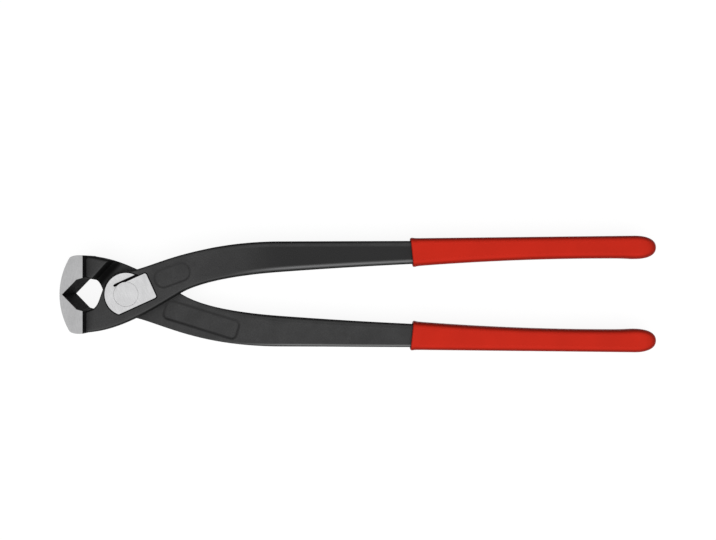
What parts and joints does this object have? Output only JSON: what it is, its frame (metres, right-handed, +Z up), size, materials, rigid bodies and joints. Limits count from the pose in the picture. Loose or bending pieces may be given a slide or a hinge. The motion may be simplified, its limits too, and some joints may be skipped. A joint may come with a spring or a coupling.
{
  "type": "concreters nippers",
  "caption": "Concreters' nippers: crossed black forged arms on a flush rivet, ground end-cutting jaws round a wire pocket, long handles in red plastic sleeves.",
  "frame": {"origin": "centre of the closed tool's outline, on the surface that its jaws rest on when it lies on its side", "axes": "+X along the tool from the jaws to the handle ends, +Y across the handles towards the front arm's handle, +Z up along the pivot axis"},
  "size_m": [0.28, 0.0552, 0.022],
  "materials": {
    "black_forging": "black phosphated drop forging, ground bright on the jaw sides and the joint pad",
    "ground_steel": "ground flush, fine grinding marks",
    "red_sleeve": "smooth red dipped plastic"
  },
  "bodies": {
    "rear_half": {"rear_arm": "black_forging", "rear_grip": "red_sleeve", "pivot_rivet": "ground_steel"},
    "front_half": {"front_arm": "black_forging", "front_grip": "red_sleeve"}
  },
  "joints": [
    {"name": "jaw_pivot", "type": "hinge", "parent": "rear_half", "child": "front_half", "pos_m": [-0.1102, 0, 0.011], "axis": [0, 0, 1], "range_deg": [0, 50]}
  ]
}
